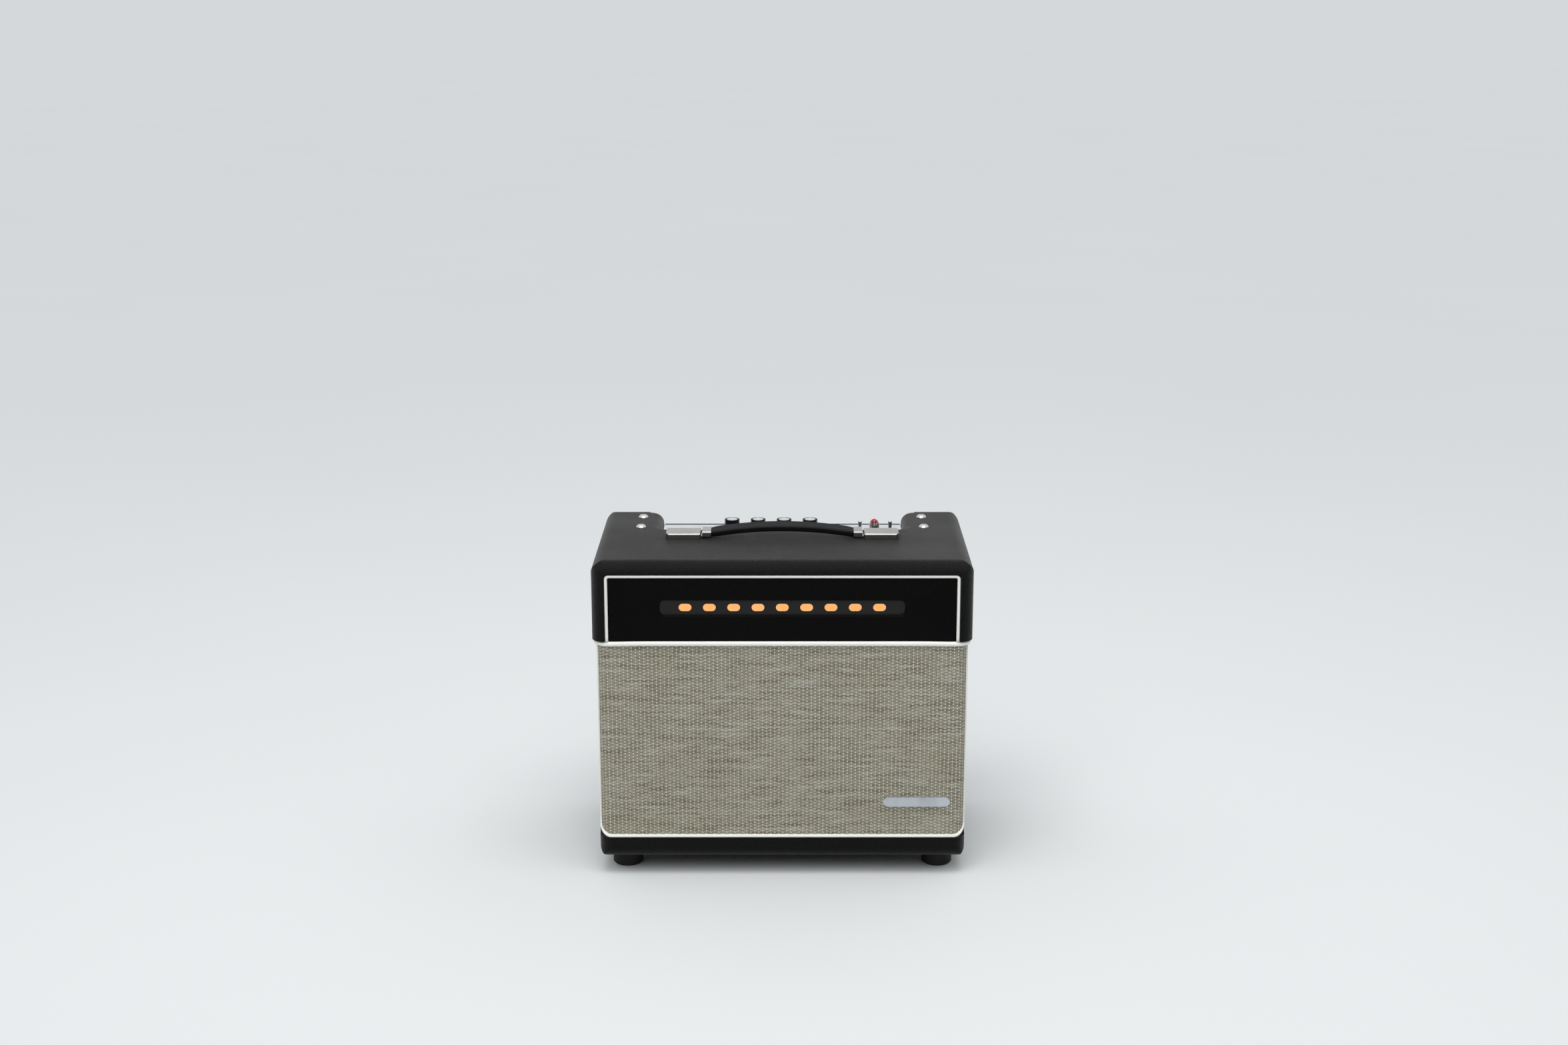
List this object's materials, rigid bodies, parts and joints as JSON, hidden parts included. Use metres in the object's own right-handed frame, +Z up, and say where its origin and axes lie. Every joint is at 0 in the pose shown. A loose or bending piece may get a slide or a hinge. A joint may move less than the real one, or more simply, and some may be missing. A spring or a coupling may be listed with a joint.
{
  "type": "guitar amplifier",
  "caption": "Small one-speaker valve guitar amplifier in black leathercloth with white piping, woven grille cloth, a strap handle and a recessed top control plate.",
  "frame": {"origin": "on the floor under the middle of the cabinet", "axes": "+X right as seen from the front, -Y out of the front grille, +Z up"},
  "size_m": [0.452, 0.254, 0.4113],
  "materials": {
    "leathercloth": "plywood covered in black grained leathercloth",
    "fascia_leathercloth": "thin board covered in black leathercloth",
    "baffle_wood": "bare birch plywood",
    "frame_wood": "dark stained softwood",
    "grille_cloth": "woven salt and pepper cloth",
    "piping": "smooth white piping",
    "mask_plastic": "satin black",
    "lit_lens": "translucent, lit warm from behind",
    "board_green": "glass fibre circuit board",
    "badge_metal": "brushed",
    "black_steel": "black zinc",
    "foot_rubber": "moulded",
    "plated_steel": "zinc plated",
    "mirror_chrome": "mirror polished",
    "nickel": "polished nickel",
    "red_jewel": "faceted red jewel",
    "strap_rubber": "ribbed, satin",
    "basket_paint": "satin black enamel",
    "magnet_paint": "dark grey",
    "cone_paper": "ribbed paper pulp",
    "treated_cloth": "stiffened yellow cloth",
    "copper_wire": "enamelled copper wire",
    "transformer_paint": "black laminations and covers",
    "inlet_plastic": "moulded black",
    "ceramic": "glazed ceramic",
    "valve_glass": "clear glass",
    "knob_plastic": "moulded black",
    "silver_top": "bright spun top",
    "shaft_brass": "turned brass"
  },
  "bodies": {
    "cabinet": {"top_board": "leathercloth", "left_side": "leathercloth", "right_side": "leathercloth", "bottom_board": "leathercloth", "fascia_panel": "fascia_leathercloth", "rear_panel_upper": "leathercloth", "rear_panel_lower": "leathercloth", "baffle_board": "baffle_wood", "grille_frame": "frame_wood", "grille_cloth": "grille_cloth", "grille_piping": "piping", "waist_piping": "piping", "fascia_piping": "piping", "name_mask": "mask_plastic", "name_lens": "lit_lens", "light_board": "board_green", "circuit_board": "board_green", "badge": "badge_metal", "cabinet_screws": "black_steel", "feet": "foot_rubber", "chassis": "plated_steel", "control_plate": "mirror_chrome", "chassis_screws": "mirror_chrome", "pots": "plated_steel", "control_nuts": "nickel", "toggle_bodies": "plated_steel", "pilot_bezel": "nickel", "pilot_jewel": "red_jewel", "input_jack": "plated_steel", "handle_caps": "nickel", "handle_screws": "nickel", "speaker_basket": "basket_paint", "speaker_magnet": "magnet_paint", "speaker_surround": "cone_paper", "spider": "treated_cloth", "speaker_bolts": "plated_steel", "transformers": "transformer_paint", "mains_inlet": "inlet_plastic", "tube_sockets": "ceramic", "power_tubes": "valve_glass", "preamp_tubes": "valve_glass"},
    "control_1": {"knob_1": "knob_plastic", "knob_cap_1": "silver_top", "pot_shaft_1": "shaft_brass"},
    "control_2": {"knob_2": "knob_plastic", "knob_cap_2": "silver_top", "pot_shaft_2": "shaft_brass"},
    "control_3": {"knob_3": "knob_plastic", "knob_cap_3": "silver_top", "pot_shaft_3": "shaft_brass"},
    "control_4": {"knob_4": "knob_plastic", "knob_cap_4": "silver_top", "pot_shaft_4": "shaft_brass"},
    "standby_switch": {"standby_lever": "nickel"},
    "power_switch": {"power_lever": "nickel"},
    "handle": {"handle_strap": "strap_rubber", "handle_ferrules": "nickel"},
    "cone": {"speaker_cone": "cone_paper", "dust_cap": "cone_paper", "voice_coil": "copper_wire"}
  },
  "joints": [
    {"name": "knob_1_turn", "type": "hinge", "parent": "cabinet", "child": "control_1", "pos_m": [-0.0633, 0.0725, 0.39], "axis": [0, 0, 1], "range_deg": [-150, 150]},
    {"name": "knob_2_turn", "type": "hinge", "parent": "cabinet", "child": "control_2", "pos_m": [-0.0306, 0.0725, 0.39], "axis": [0, 0, 1], "range_deg": [-150, 150]},
    {"name": "knob_3_turn", "type": "hinge", "parent": "cabinet", "child": "control_3", "pos_m": [0.0021, 0.0725, 0.39], "axis": [0, 0, 1], "range_deg": [-150, 150]},
    {"name": "knob_4_turn", "type": "hinge", "parent": "cabinet", "child": "control_4", "pos_m": [0.0348, 0.0725, 0.39], "axis": [0, 0, 1], "range_deg": [-150, 150]},
    {"name": "standby_flip", "type": "hinge", "parent": "cabinet", "child": "standby_switch", "pos_m": [0.0977, 0.0725, 0.3822], "axis": [1, 0, 0], "range_deg": [0, 24]},
    {"name": "power_flip", "type": "hinge", "parent": "cabinet", "child": "power_switch", "pos_m": [0.1355, 0.0725, 0.3822], "axis": [1, 0, 0], "range_deg": [0, 24]},
    {"name": "handle_lift", "type": "slide", "parent": "cabinet", "child": "handle", "axis": [0, 0, 1], "range_m": [0, 0.0035]},
    {"name": "cone_travel", "type": "slide", "parent": "cabinet", "child": "cone", "axis": [0, -1, 0], "range_m": [-0.002, 0.002], "stiffness_N_per_m": 2500, "deforming": ["speaker_surround", "spider"]}
  ]
}
